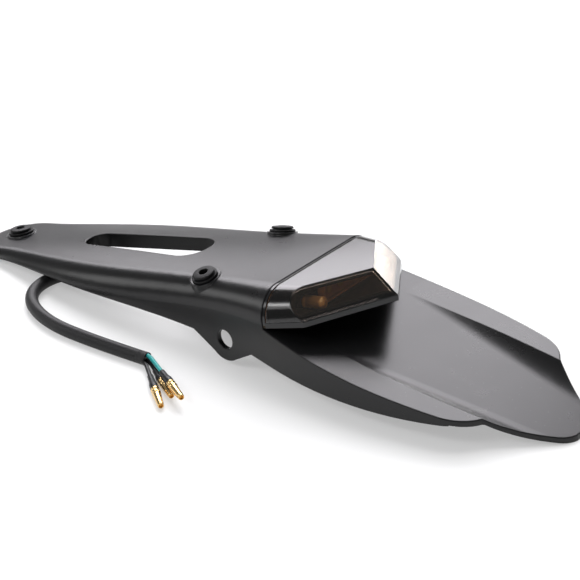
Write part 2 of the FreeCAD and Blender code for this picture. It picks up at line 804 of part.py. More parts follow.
# Tail light: board, bezel, light sources, inserts and screws
lensFloor = -value("lensFloor")
boardAt = value("boardAt")
boardWide = value("boardWide")
border = value("bezelBorder")
ledSize = value("ledSize")
faceAt = boardAt + value("boardThick")
board = box("led_board", (boardAt, -boardWide / 2, lensFloor), "boardThick", "boardWide", "boardHigh")
bezelBlock = box("bezelBlock", (faceAt, -boardWide / 2, lensFloor), "bezelThick", "boardWide", "boardHigh")
bezelWindow = box("bezelWindow", (faceAt - 1, border - boardWide / 2, lensFloor + border),
                  "bezelCut", "bezelWindowWide", "bezelWindowHigh")
bezel = cut("led_bezel", bezelBlock, bezelWindow)
lights = []
for i in range(4):
    middle = boardWide * (i - 1.5) * 0.22
    low = lensFloor + value("boardHigh") / 2 - ledSize / 2
    corner = (faceAt, middle - ledSize / 2, low)
    lights.append(box("led_%d" % (i + 1), corner, "ledThick", "ledSize", "ledSize"))
inserts = []
screws = []
for name in fixSides:
    start = FreeCAD.Vector(sealAt, fixSides[name], fixZ)
    bar = rod("insertBar_" + name, "insertRadius", "insertLength", start, alongX)
    bore = rod("insertBore_" + name, "insertBore", "fixBoreLength", start, alongX)
    inserts.append(cut("insert_" + name, bar, bore))
    seat = FreeCAD.Vector(wallFace, fixSides[name], fixZ)
    crown = seat - alongX * value("screwHeadHigh")
    shank = rod("screwShank_" + name, "insertBore", "screwLength", seat, alongX)
    head = rod("screwHead_" + name, "screwHead", "screwHeadHigh", crown, alongX)
    drive = rod("screwDrive_" + name, "driveRadius", "driveDeep", crown, alongX)
    screws.append(cut("screw_" + name, fuse("screwBlank_" + name, [shank, head]), drive))

# Cable bush
glandStart = FreeCAD.Vector(wallFace, 0, cableZ)
glandBack = glandStart - alongX * value("glandFlangeHigh")
glandNeck = rod("glandNeck", "glandRadius", "glandLength", glandStart, alongX)
glandRim = rod("glandRim", "glandFlange", "glandFlangeHigh", glandBack, alongX)
glandBore = rod("glandBore", "cableRadius", "holeLength", glandBack - alongX, alongX)
gland = cut("cable_gland", fuse("glandBlank", [glandNeck, glandRim]), glandBore)

grommets = {name: grommet("grommet_" + name) for name in seats}

# Everything above is drawn on the level tray, then set on the table as one
pose = FreeCAD.Placement(FreeCAD.Vector(value("shift"), 0, value("lift")),
                         FreeCAD.Rotation(FreeCAD.Vector(0, 1, 0), -value("pitch")))
posed = [fender, base, gasket, lens, board, bezel, gland] + lights + inserts + screws
for piece in posed:
    piece.Placement = pose.multiply(piece.Placement)
for name in seats:
    place, up = seats[name]
    seat = FreeCAD.Placement(place, FreeCAD.Rotation(FreeCAD.Vector(0, 0, 1), up))
    grommets[name].Placement = pose.multiply(seat)


# Path of straight runs joined by tangent arcs
def roundedPath(points, label):
    edges = []
    last = points[0]
    for i in range(1, len(points) - 1):
        back = points[i - 1] - points[i]
        ahead = points[i + 1] - points[i]
        shorter = min(back.Length, ahead.Length)
        back.normalize()
        ahead.normalize()
        turn = math.pi - back.getAngle(ahead)
        reach = 0.45 * shorter
        radius = reach / math.tan(turn / 2)
        first = points[i] + back * reach
        second = points[i] + ahead * reach
        inward = (back + ahead).normalize()
        centre = points[i] + inward * (radius / math.cos(turn / 2))
        middle = centre - inward * radius
        edges.append(Part.LineSegment(last, first).toShape())
        edges.append(Part.Arc(first, middle, second).toShape())
        print("%s bend %d: radius %.1f, turn %.0f" % (label, i, radius, math.degrees(turn)))
        last = second
    edges.append(Part.LineSegment(last, points[-1]).toShape())
    return Part.Wire(edges)


def tube(label, points, radius):
    path = roundedPath(points, label)
    ring = Part.Wire([Part.makeCircle(radius, points[0], points[1] - points[0])])
    result = doc.addObject("Part::Feature", label)
    result.Label = label
    result.Shape = path.makePipeShell([ring], True, False)
    ratio = result.Shape.Volume / (math.pi * radius ** 2 * path.Length)
    print("%s: length %.1f, volume over section times length %.3f" % (label, path.Length, ratio))
    return result


# Cable: from the housing forward under the tray, out on the left and back along the table
shift = value("shift")
cableRadius = value("cableRadius")
rest = cableRadius + 0.1
inside = pose.multVec(FreeCAD.Vector(sealAt + 6, 0, cableZ))
leaving = pose.multVec(FreeCAD.Vector(14, 0, cableZ))
ground = [(-50, -2), (-105, 0.5), (-126.5, -26), (-120, -55), (-88, -72.5), (-48, -75), (-12, -73.6)]
route = [inside, leaving]
for i in range(len(ground)):
    route.append(FreeCAD.Vector(ground[i][0] + shift, ground[i][1], rest + (3 if i == 0 else 0)))
sheath = tube("cable_sheath", route, cableRadius)

# Leads, sleeves and bullet terminals at the free end
leadRadius = value("leadRadius")
end = route[-1]
along = (route[-1] - route[-2]).normalize()
aside = FreeCAD.Vector(0, 0, 1).cross(along)
leads = {
    "green": (1.2, 2.2, 14.5, FreeCAD.Vector(34.6, -102.3, 7.4)),
    "black": (-2.2, -0.6, 15, FreeCAD.Vector(25.5, -108.4, 2.6)),
    "middle": (1.1, -1.3, 12, FreeCAD.Vector(23.2, -96.6, 2.6)),
}
free = []
for name in leads:
    across, above, sleeveLength, tip = leads[name]
    tip = tip + FreeCAD.Vector(shift, 0, 0)
    start = end + aside * across + FreeCAD.Vector(0, 0, above)
    bend = start + along * 6
    heading = (tip - bend).normalize()
    crimp = tip - heading * value("bulletEnd")
    near = crimp - heading * sleeveLength
    free.append(tube("wire_" + name, [start, bend, crimp], leadRadius))
    turnTo = FreeCAD.Rotation(FreeCAD.Vector(0, 0, 1), heading)
    sleeve = doc.addObject("Part::Feature", "sleeve_" + name)
    sleeve.Label = "sleeve_" + name
    tubeOuter = Part.makeCone(value("sleeveThin"), value("leadSleeve"), sleeveLength)
    sleeve.Shape = tubeOuter.cut(Part.makeCylinder(leadRadius, sleeveLength))
    sleeve.Placement = FreeCAD.Placement(near, turnTo)
    free.append(sleeve)
    bullet = newBody("bullet_" + name)
    section = outline(bullet, "bulletSection_" + name, "XZ", "zero", [
        ("zero", "zero"),
        ("bulletBody", "zero"),
        ("bulletBody", "bulletCrimp"),
        ("bulletNeck", "bulletWaist"),
        ("bulletBody", "bulletShoulder"),
        ("bulletBody", "bulletNose"),
        ("bulletTip", "bulletEnd"),
        ("zero", "bulletEnd"),
    ])
    turn = bullet.newObject("PartDesign::Revolution", "bulletTurn_" + name)
    turn.Profile = section
    turn.ReferenceAxis = (section, ["V_Axis"])
    turn.Angle = 360
    bullet.Tip = turn
    bullet.Placement = FreeCAD.Placement(crimp, turnTo)
    free.append(bullet)

doc.recompute()

# Every object is sound before it is written
for thing in doc.Objects:
    if "Invalid" in thing.State or "Error" in thing.State:
        raise RuntimeError("%s is %s" % (thing.Label, thing.State))
pieces = posed + [grommets[name] for name in seats] + [sheath] + free
os.makedirs("parts", exist_ok=True)
for piece in pieces:
    shape = piece.Shape
    if shape.isNull() or not shape.isValid() or len(shape.Solids) != 1:
        raise RuntimeError("%s is not one sound solid: %d" % (piece.Label, len(shape.Solids)))
    shape.exportStep("parts/%s.step" % piece.Label)
    print("%-16s %9.0f mm3" % (piece.Label, shape.Volume))
print("pitch %.4f, lift %.4f, shift %.4f" % (value("pitch"), value("lift"), value("shift")))
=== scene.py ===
import json
import math
import bmesh
import bpy
from mathutils import Matrix, Vector


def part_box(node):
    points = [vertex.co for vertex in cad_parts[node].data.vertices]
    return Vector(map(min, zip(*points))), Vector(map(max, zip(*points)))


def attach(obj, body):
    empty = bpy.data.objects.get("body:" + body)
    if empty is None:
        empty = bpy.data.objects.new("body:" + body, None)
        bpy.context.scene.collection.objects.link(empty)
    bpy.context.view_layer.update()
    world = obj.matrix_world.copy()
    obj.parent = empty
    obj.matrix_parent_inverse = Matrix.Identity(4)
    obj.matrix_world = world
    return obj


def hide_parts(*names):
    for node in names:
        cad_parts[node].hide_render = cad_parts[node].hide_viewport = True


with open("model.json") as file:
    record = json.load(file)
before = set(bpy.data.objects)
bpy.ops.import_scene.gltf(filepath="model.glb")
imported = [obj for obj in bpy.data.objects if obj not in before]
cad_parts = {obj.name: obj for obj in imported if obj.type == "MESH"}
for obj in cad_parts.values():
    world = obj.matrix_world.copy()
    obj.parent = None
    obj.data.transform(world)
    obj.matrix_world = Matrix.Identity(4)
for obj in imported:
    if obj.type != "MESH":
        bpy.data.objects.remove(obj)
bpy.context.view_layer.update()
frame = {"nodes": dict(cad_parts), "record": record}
nodes = frame["nodes"]
mounts = {mount["name"]: mount for mount in frame["record"]["mounts"]}
# tilted plane of the tray, in which the light is laid out
plateUp = Vector(mounts["grommet_front_bore"]["axis"])
plateBack = Vector((plateUp.z, 0, -plateUp.x))
plateOrigin = Vector((-0.013721, 0, 0.0434258))
print("frame loaded with", len(nodes), "nodes")


# camera where the photograph was taken from, 580 x 580 frame
cameraSet = {
    "place": (0.68437, -0.92237, 0.59552),
    "azimuth": 35.85,
    "elevation": 26.44,
    "roll": 0.064,
    "lensMm": 141.05,
    "sensorMm": 36,
}


def addCamera(c):
    turn = math.radians(c["azimuth"])
    rise = math.radians(c["elevation"])
    ahead = Vector((-math.sin(turn) * math.cos(rise), math.cos(turn) * math.cos(rise), -math.sin(rise)))
    side = ahead.cross(Vector((0, 0, 1))).normalized()
    up = side.cross(ahead)
    facing = Matrix((side, up, -ahead)).transposed().to_4x4()
    data = bpy.data.cameras.new("studioCamera")
    data.sensor_width = c["sensorMm"]
    data.lens = c["lensMm"]
    camera = bpy.data.objects.new("studioCamera", data)
    roll = Matrix.Rotation(math.radians(c["roll"]), 4, "Z")
    camera.matrix_world = Matrix.Translation(c["place"]) @ facing @ roll
    bpy.context.scene.collection.objects.link(camera)
    bpy.context.scene.camera = camera


addCamera(cameraSet)
bpy.context.scene.view_settings.view_transform = "Standard"
print("camera set")


# small helpers for node trees
def addNode(tree, kind, **values):
    node = tree.nodes.new(kind)
    for key, value in values.items():
        setattr(node, key, value)
    return node


def setInputs(node, **values):
    for key, value in values.items():
        node.inputs[key.replace("_", " ")].default_value = value


def newGroup(name, takes, gives):
    group = bpy.data.node_groups.new(name, "ShaderNodeTree")
    for label, kind, start in takes:
        socket = group.interface.new_socket(name=label, in_out="INPUT", socket_type=kind)
        socket.default_value = start
    for label, kind in gives:
        group.interface.new_socket(name=label, in_out="OUTPUT", socket_type=kind)
    return group, group.nodes.new("NodeGroupInput"), group.nodes.new("NodeGroupOutput")


number = "NodeSocketFloat"
vector = "NodeSocketVector"
noiseMiddle = 0.5  # mean level of a noise texture
speckPick = 0.8  # cells above this level carry a speck of dust
dustTone = (0.45, 0.45, 0.46)
plasticIor = 1.5


# fine spark-eroded mould grain with soft handling marks on top
def makeMouldGrain():
    group, taken, given = newGroup(
        "mouldGrain",
        [("Grain per metre", number, 2600.0), ("Roughness", number, 0.4), ("Spread", number, 0.08)],
        [("Height", number), ("Roughness", number), ("Marks", number)],
    )
    link = group.links.new
    place = addNode(group, "ShaderNodeTexCoord")
    grain = addNode(group, "ShaderNodeTexNoise")
    setInputs(grain, Detail=3.0, Roughness=0.6)
    link(place.outputs["Object"], grain.inputs["Vector"])
    link(taken.outputs["Grain per metre"], grain.inputs["Scale"])
    marks = addNode(group, "ShaderNodeTexNoise")
    setInputs(marks, Scale=34.0, Detail=6.0, Roughness=0.66, Distortion=0.6)
    link(place.outputs["Object"], marks.inputs["Vector"])
    centred = addNode(group, "ShaderNodeMath", operation="SUBTRACT")
    centred.inputs[1].default_value = noiseMiddle
    link(marks.outputs["Fac"], centred.inputs[0])
    scaled = addNode(group, "ShaderNodeMath", operation="MULTIPLY_ADD")
    link(centred.outputs[0], scaled.inputs[0])
    link(taken.outputs["Spread"], scaled.inputs[1])
    link(taken.outputs["Roughness"], scaled.inputs[2])
    link(grain.outputs["Fac"], given.inputs["Height"])
    link(scaled.outputs[0], given.inputs["Roughness"])
    link(marks.outputs["Fac"], given.inputs["Marks"])
    return group


# tiny radius that every moulded or cut edge has, as a shading normal
def makeSoftEdge():
    group, taken, given = newGroup(
        "softEdge",
        [("Radius", number, 0.0005)],
        [("Normal", vector), ("Edge", number)],
    )
    link = group.links.new
    bevel = addNode(group, "ShaderNodeBevel", samples=8)
    link(taken.outputs["Radius"], bevel.inputs["Radius"])
    flat = addNode(group, "ShaderNodeNewGeometry")
    product = addNode(group, "ShaderNodeVectorMath", operation="DOT_PRODUCT")
    link(bevel.outputs["Normal"], product.inputs[0])
    link(flat.outputs["Normal"], product.inputs[1])
    edge = addNode(group, "ShaderNodeMapRange")
    setInputs(edge, From_Min=0.995, From_Max=0.86, To_Min=0.0, To_Max=1.0)
    link(product.outputs["Value"], edge.inputs["Value"])
    link(bevel.outputs["Normal"], given.inputs["Normal"])
    link(edge.outputs["Result"], given.inputs["Edge"])
    return group


# sparse pale specks of dust that settle on upward faces
def makeDust():
    group, taken, given = newGroup("dustSpecks", [("Amount", number, 0.3)], [("Dust", number)])
    link = group.links.new
    place = addNode(group, "ShaderNodeTexCoord")
    cells = addNode(group, "ShaderNodeTexVoronoi")
    setInputs(cells, Scale=420.0, Randomness=1.0)
    link(place.outputs["Object"], cells.inputs["Vector"])
    speck = addNode(group, "ShaderNodeMapRange")
    setInputs(speck, From_Min=0.12, From_Max=0.03, To_Min=0.0, To_Max=1.0)
    link(cells.outputs["Distance"], speck.inputs["Value"])
    pick = addNode(group, "ShaderNodeSeparateColor")
    link(cells.outputs["Color"], pick.inputs["Color"])
    some = addNode(group, "ShaderNodeMath", operation="GREATER_THAN")
    some.inputs[1].default_value = speckPick
    link(pick.outputs[0], some.inputs[0])
    flat = addNode(group, "ShaderNodeNewGeometry")
    split = addNode(group, "ShaderNodeSeparateXYZ")
    link(flat.outputs["Normal"], split.inputs["Vector"])
    upward = addNode(group, "ShaderNodeMapRange")
    setInputs(upward, From_Min=0.5, From_Max=0.95, To_Min=0.0, To_Max=1.0)
    link(split.outputs["Z"], upward.inputs["Value"])
    picked = addNode(group, "ShaderNodeMath", operation="MULTIPLY")
    link(speck.outputs["Result"], picked.inputs[0])
    link(some.outputs[0], picked.inputs[1])
    lying = addNode(group, "ShaderNodeMath", operation="MULTIPLY")
    link(picked.outputs[0], lying.inputs[0])
    link(upward.outputs["Result"], lying.inputs[1])
    level = addNode(group, "ShaderNodeMath", operation="MULTIPLY")
    link(lying.outputs[0], level.inputs[0])
    link(taken.outputs["Amount"], level.inputs[1])
    link(level.outputs[0], given.inputs["Dust"])
    return group


mouldGrain = makeMouldGrain()
softEdge = makeSoftEdge()
dustSpecks = makeDust()
print("shared node groups ready")


def newMaterial(name):
    material = bpy.data.materials.new(name)
    material.use_nodes = True
    tree = material.node_tree
    return material, tree, tree.nodes["Principled BSDF"]


def useGroup(tree, group, **values):
    node = tree.nodes.new("ShaderNodeGroup")
    node.node_tree = group
    setInputs(node, **values)
    return node


# a colour Mix node keeps its two colours in sockets 6 and 7 and gives the result in output 2
def blend(tree, factor, low, high):
    mix = addNode(tree, "ShaderNodeMix", data_type="RGBA")
    tree.links.new(factor, mix.inputs[0])
    for socket, tone in ((mix.inputs[6], low), (mix.inputs[7], high)):
        if isinstance(tone, tuple):
            socket.default_value = (*tone, 1)
        else:
            tree.links.new(tone, socket)
    return mix.outputs[2]


# grain, softened edges and tone shared by the moulded and the metal finishes
def surfaceOf(tree, shader, f):
    grain = useGroup(
        tree, mouldGrain, Grain_per_metre=f["grain"], Roughness=f["rough"], Spread=f["spread"],
    )
    edge = useGroup(tree, softEdge, Radius=f["edge"])
    tone = blend(tree, grain.outputs["Marks"], f["dark"], f["light"])
    tone = blend(tree, edge.outputs["Edge"], tone, f["worn"])
    bump = addNode(tree, "ShaderNodeBump")
    setInputs(bump, Strength=f["bump"], Distance=f["depth"])
    tree.links.new(grain.outputs["Height"], bump.inputs["Height"])
    tree.links.new(edge.outputs["Normal"], bump.inputs["Normal"])
    tree.links.new(grain.outputs["Roughness"], shader.inputs["Roughness"])
    tree.links.new(bump.outputs["Normal"], shader.inputs["Normal"])
    return tone


def mouldedFinish(name, f):
    material, tree, shader = newMaterial(name)
    tone = surfaceOf(tree, shader, f)
    if "dust" in f:
        dust = useGroup(tree, dustSpecks, Amount=f["dust"])
        tone = blend(tree, dust.outputs["Dust"], tone, dustTone)
    tree.links.new(tone, shader.inputs["Base Color"])
    setInputs(shader, IOR=f.get("ior", plasticIor))
    return material


def metalFinish(name, f):
    material, tree, shader = newMaterial(name)
    tree.links.new(surfaceOf(tree, shader, f), shader.inputs["Base Color"])
    setInputs(shader, Metallic=f.get("metal", 1.0))
    return material


# smoked plastic, clear only where it faces rearward and blacked out on its top, sides and lower edge
def smokedFinish(name, f):
    material, tree, shader = newMaterial(name)
    link = tree.links.new
    facing = addNode(tree, "ShaderNodeNewGeometry")
    along = addNode(tree, "ShaderNodeVectorMath", operation="DOT_PRODUCT")
    along.inputs[1].default_value = plateBack
    link(facing.outputs["Normal"], along.inputs[0])
    rearward = addNode(tree, "ShaderNodeMath", operation="ABSOLUTE")
    link(along.outputs["Value"], rearward.inputs[0])
    low, high = f["windowFacing"]
    window = addNode(tree, "ShaderNodeMapRange")
    setInputs(window, From_Min=low, From_Max=high, To_Min=0.0, To_Max=1.0)
    link(rearward.outputs[0], window.inputs["Value"])
    gloss = addNode(tree, "ShaderNodeMapRange")
    setInputs(gloss, From_Min=low, From_Max=high, To_Min=f["satin"], To_Max=f["rough"])
    link(rearward.outputs[0], gloss.inputs["Value"])
    place = addNode(tree, "ShaderNodeTexCoord")
    height = addNode(tree, "ShaderNodeVectorMath", operation="DOT_PRODUCT")
    height.inputs[1].default_value = plateUp
    link(place.outputs["Object"], height.inputs[0])
    band = plateOrigin.dot(plateUp) - f["bandDeep"]
    above = addNode(tree, "ShaderNodeMapRange")
    soft = f["bandSoft"]
    setInputs(above, From_Min=band - soft, From_Max=band + soft, To_Min=0.0, To_Max=1.0)
    link(height.outputs["Value"], above.inputs["Value"])
    clear = addNode(tree, "ShaderNodeMath", operation="MULTIPLY")
    link(window.outputs["Result"], clear.inputs[0])
    link(above.outputs["Result"], clear.inputs[1])
    grain = useGroup(tree, mouldGrain, Grain_per_metre=f["grain"], Spread=f["spread"])
    link(gloss.outputs["Result"], grain.inputs["Roughness"])
    edge = useGroup(tree, softEdge, Radius=f["edge"])
    link(blend(tree, clear.outputs[0], f["masked"], f["tint"]), shader.inputs["Base Color"])
    link(grain.outputs["Roughness"], shader.inputs["Roughness"])
    link(edge.outputs["Normal"], shader.inputs["Normal"])
    setInputs(shader, Transmission_Weight=1.0, IOR=f["ior"])
    return material


fenderPlastic = mouldedFinish("fenderPlastic", {
    "dark": (0.005, 0.005, 0.0054), "light": (0.008, 0.008, 0.0086), "worn": (0.012, 0.012, 0.013),
    "rough": 0.285, "spread": 0.08, "grain": 2600.0, "bump": 0.05, "depth": 0.0002, "edge": 0.0012,
    "dust": 0.2, "ior": 1.42,
})
grommetRubber = mouldedFinish("grommetRubber", {
    "dark": (0.006, 0.006, 0.0065), "light": (0.011, 0.011, 0.0115), "worn": (0.016, 0.016, 0.016),
    "rough": 0.45, "spread": 0.12, "grain": 3200.0, "bump": 0.06, "depth": 0.0002, "edge": 0.0003,
    "dust": 0.15, "ior": 1.26,
})
housingGloss = mouldedFinish("housingGloss", {
    "dark": (0.006, 0.006, 0.0065), "light": (0.009, 0.009, 0.0095), "worn": (0.012, 0.012, 0.012),
    "rough": 0.12, "spread": 0.06, "grain": 1800.0, "bump": 0.01, "depth": 0.0001, "edge": 0.0004,
})
shroudBlack = mouldedFinish("shroudBlack", {
    "dark": (0.004, 0.004, 0.004), "light": (0.007, 0.0065, 0.006), "worn": (0.01, 0.009, 0.008),
    "rough": 0.55, "spread": 0.1, "grain": 1800.0, "bump": 0.05, "depth": 0.0001, "edge": 0.0002,
    "ior": 1.25,
})
# seal between the housing and the lens; its orange-brown tone is a painted glow that stands in for light
# refracted through the smoked lens edge along the seam
gasketPaintedGlow = mouldedFinish("gasketPaintedGlow", {
    "dark": (0.16, 0.075, 0.04), "light": (0.24, 0.12, 0.07), "worn": (0.3, 0.16, 0.1),
    "rough": 0.45, "spread": 0.1, "grain": 3000.0, "bump": 0.05, "depth": 0.0001, "edge": 0.0002,
})
boardLaminate = mouldedFinish("boardLaminate", {
    "dark": (0.3, 0.15, 0.08), "light": (0.5, 0.29, 0.16), "worn": (0.55, 0.35, 0.2),
    "rough": 0.35, "spread": 0.2, "grain": 900.0, "bump": 0.05, "depth": 0.0002, "edge": 0.0002,
})
bezelPlastic = mouldedFinish("bezelPlastic", {
    "dark": (0.32, 0.18, 0.1), "light": (0.52, 0.31, 0.18), "worn": (0.6, 0.4, 0.25),
    "rough": 0.3, "spread": 0.1, "grain": 1500.0, "bump": 0.05, "depth": 0.0002, "edge": 0.0003,
})
ledPhosphor = mouldedFinish("ledPhosphor", {
    "dark": (0.42, 0.28, 0.09), "light": (0.55, 0.4, 0.16), "worn": (0.6, 0.5, 0.3),
    "rough": 0.25, "spread": 0.1, "grain": 4000.0, "bump": 0.05, "depth": 0.0001, "edge": 0.0002,
})
brightBrass = metalFinish("brightBrass", {
    "dark": (0.70, 0.45, 0.17), "light": (0.86, 0.63, 0.30), "worn": (0.92, 0.74, 0.42),
    "rough": 0.2, "spread": 0.12, "grain": 2400.0, "bump": 0.03, "depth": 0.0001, "edge": 0.0002,
})
insertBrass = metalFinish("insertBrass", {
    "dark": (0.72, 0.46, 0.2), "light": (0.92, 0.7, 0.38), "worn": (0.96, 0.8, 0.5),
    "rough": 0.36, "spread": 0.2, "grain": 900.0, "bump": 0.3, "depth": 0.0003, "edge": 0.0003,
    "metal": 0.6,
})
screwSteel = metalFinish("screwSteel", {
    "dark": (0.38, 0.38, 0.39), "light": (0.55, 0.55, 0.56), "worn": (0.62, 0.62, 0.63),
    "rough": 0.34, "spread": 0.12, "grain": 2400.0, "bump": 0.05, "depth": 0.0001, "edge": 0.0002,
})
sheathPlastic = mouldedFinish("sheathPlastic", {
    "dark": (0.012, 0.012, 0.0125), "light": (0.02, 0.02, 0.021), "worn": (0.026, 0.026, 0.027),
    "rough": 0.5, "spread": 0.12, "grain": 1600.0, "bump": 0.12, "depth": 0.0002, "edge": 0.0003,
    "dust": 0.3, "ior": 1.36,
})
tealInsulation = mouldedFinish("tealInsulation", {
    "dark": (0.006, 0.24, 0.24), "light": (0.014, 0.36, 0.35), "worn": (0.02, 0.4, 0.39),
    "rough": 0.38, "spread": 0.1, "grain": 2200.0, "bump": 0.04, "depth": 0.0001, "edge": 0.0002,
})
blackInsulation = mouldedFinish("blackInsulation", {
    "dark": (0.006, 0.006, 0.0065), "light": (0.011, 0.011, 0.0115), "worn": (0.016, 0.016, 0.016),
    "rough": 0.36, "spread": 0.1, "grain": 2200.0, "bump": 0.05, "depth": 0.0001, "edge": 0.0002,
    "ior": 1.38,
})
smokedLens = smokedFinish("smokedLens", {
    "tint": (0.8, 0.62, 0.47), "masked": (0.03, 0.026, 0.024),
    "windowFacing": (0.42, 0.58), "bandDeep": 0.0143, "bandSoft": 0.0002,
    "ior": 1.6, "rough": 0.04, "satin": 0.13, "spread": 0.03, "grain": 1200.0, "edge": 0.0007,
})
finishOf = {
    "fender_body": fenderPlastic, "light_base": housingGloss, "light_gasket": gasketPaintedGlow,
    "tail_lens": smokedLens, "led_board": boardLaminate, "led_bezel": bezelPlastic,
    "cable_gland": grommetRubber, "screw_left": screwSteel, "screw_right": screwSteel,
}
for name, finish in finishOf.items():
    nodes[name].data.materials.clear()
    nodes[name].data.materials.append(finish)
print("finishes on", len(finishOf), "nodes")


# cable and leads: the route's points are control points of a smooth spline
def addLead(name, points, radius, finish):
    curve = bpy.data.curves.new(name, "CURVE")
    curve.dimensions = "3D"
    curve.bevel_depth = radius
    curve.bevel_resolution = 8
    curve.resolution_u = 16
    curve.use_fill_caps = True
    spline = curve.splines.new("NURBS")
    spline.points.add(len(points) - 1)
    for point, place in zip(spline.points, points):
        point.co = (*place, 1)
    spline.order_u = 3
    spline.use_endpoint_u = True
    piece = bpy.data.objects.new(name, curve)
    bpy.context.scene.collection.objects.link(piece)
    curve.materials.append(finish)
    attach(piece, "root")
    return piece


cable = {
    "radius": 0.00385,
    "length": 0.339,
    "route": [
        (0.0446, 0, 0.04477), (0.00208, 0, 0.03605), (-0.06372, -0.002, 0.00695),
        (-0.11872, 0.0005, 0.00395), (-0.1378, -0.026, 0.00395), (-0.1313, -0.055, 0.00395),
        (-0.10172, -0.0725, 0.00395), (-0.06172, -0.075, 0.00395), (-0.02672, -0.07364, 0.00395),
    ],
    "end": (-0.02572, -0.0736, 0.00395),
    "bore": 0.00305,
    "recess": 0.0007,
    "mouthDeep": 0.006,
    "mouthProud": 0.00004,
    "lipRound": 0.0003,
}
leads = {
    "green": {
        "length": 0.0408, "finish": tealInsulation, "sleeve": 0.0145,
        "route": [(-0.0297, -0.07255, 0.00615), (-0.024, -0.0735, 0.0062), (-0.0181, -0.0773, 0.00645),
                  (0.00574, -0.09258, 0.0074)],
    },
    "black": {
        "length": 0.0353, "finish": blackInsulation, "sleeve": 0.015,
        "route": [(-0.0297, -0.07596, 0.00335), (-0.0242, -0.0771, 0.0033), (-0.0189, -0.0817, 0.0032),
                  (-0.0018, -0.0966, 0.0029)],
    },
    "middle": {
        "length": 0.0311, "finish": blackInsulation, "sleeve": 0.012,
        "route": [(-0.0325, -0.07277, 0.00265), (-0.02405, -0.07363, 0.00265), (-0.01828, -0.0776, 0.0026),
                  (-0.0054, -0.0864, 0.0026)],
    },
}
leadRadius = 0.0012
hair = 0.0001  # radius left open on an axis, and depth of a cap inside a bore
weldGap = 1e-7


# turned pieces: a half section of (radius, height) points with rounded corners, swept about an axis
def roundCorners(section, radii, steps=4):
    result = []
    for i, point in enumerate(section):
        radius = radii.get(i, 0)
        if radius == 0 or i in (0, len(section) - 1):
            result.append(Vector(point))
            continue
        here = Vector(point)
        back = (Vector(section[i - 1]) - here).normalized()
        ahead = (Vector(section[i + 1]) - here).normalized()
        half = back.angle(ahead) / 2
        reach = radius / math.tan(half)
        for k in range(steps + 1):
            t = k / steps
            first = here + back * reach * (1 - t)
            second = here + ahead * reach * t
            result.append(first.lerp(second, t))
    return result


def turned(name, section, seat, axis, finish, sides=48, groove=None):
    mesh = bmesh.new()
    rings = []
    for radius, height in section:
        ring = []
        for k in range(sides):
            turn = 2 * math.pi * k / sides
            reach = radius
            if groove and k == 0 and groove["from"] < height < groove["to"]:
                reach -= groove["deep"]
            ring.append(mesh.verts.new((reach * math.cos(turn), reach * math.sin(turn), height)))
        rings.append(ring)
    for low, high in zip(rings, rings[1:]):
        for k in range(sides):
            n = (k + 1) % sides
            mesh.faces.new((low[k], low[n], high[n], high[k]))
    if section[0] != section[-1]:
        mesh.faces.new(rings[0][::-1])
        mesh.faces.new(rings[-1])
    bmesh.ops.remove_doubles(mesh, verts=mesh.verts, dist=weldGap)
    bmesh.ops.recalc_face_normals(mesh, faces=mesh.faces)
    facing = Vector(axis).to_track_quat("Z", "Y").to_matrix().to_4x4()
    bmesh.ops.transform(mesh, matrix=Matrix.Translation(seat) @ facing, verts=mesh.verts)
    data = bpy.data.meshes.new(name)
    mesh.to_mesh(data)
    mesh.free()
    for face in data.polygons:
        face.use_smooth = True
    piece = bpy.data.objects.new(name, data)
    bpy.context.scene.collection.objects.link(piece)
    data.materials.append(finish)
    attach(piece, "root")
    return piece


sheath = addLead("cableSheath", cable["route"], cable["radius"], sheathPlastic)
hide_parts("cable_sheath")

# cut mouth of the sheath: wall with softened lips and the packing between the leads just inside
mouthAxis = (Vector(cable["end"]) - Vector(cable["route"][-2])).normalized()
mouthSection = roundCorners([
    (cable["radius"], -cable["mouthDeep"]), (cable["radius"] + cable["mouthProud"], 0),
    (cable["bore"], 0), (cable["bore"], -cable["recess"]), (hair, -cable["recess"]),
], {1: cable["lipRound"], 2: cable["lipRound"]})
mouth = turned("sheathMouth", mouthSection, cable["end"], mouthAxis, sheathPlastic)

# shrink sleeve, tight on the lead and wider over the crimp, and bullet with crimp, waist and drilled tip;
# rounds gives the radius at each corner of a section
sleeveShape = {
    "thin": 0.0017, "swell": 1.08, "swellAt": 0.42, "wide": 0.0025, "wideAt": 0.72, "bore": 0.00118,
    "rounds": {2: 0.00025, 3: 0.0012, 4: 0.0016, 5: 0.00035}, "sides": 32,
}
bulletShape = {
    "body": 0.0025, "pinch": 0.0022, "neck": 0.0021, "barrel": 0.0023, "taper": 0.0019, "tip": 0.00165,
    "bore": 0.0012, "boreDeep": 0.004,
    "pinchFrom": 0.0017, "pinchTo": 0.0035, "pinchRamp": 0.0003, "crimp": 0.005, "waist": 0.0062,
    "shoulder": 0.0072, "nose": 0.0155, "end": 0.018, "slitDeep": 0.0003, "sides": 48,
    "rounds": {1: 0.00025, 2: 0.0001, 5: 0.0001, 6: 0.0002, 8: 0.0002, 9: 0.0006, 10: 0.0003, 11: 0.00012},
}


def sleeveSection(s, length):
    return roundCorners([
        (s["bore"], hair), (s["bore"], 0), (s["thin"], 0),
        (s["thin"] * s["swell"], length * s["swellAt"]), (s["wide"], length * s["wideAt"]),
        (s["wide"], length), (s["bore"], length), (s["bore"], length - hair),
    ], s["rounds"])


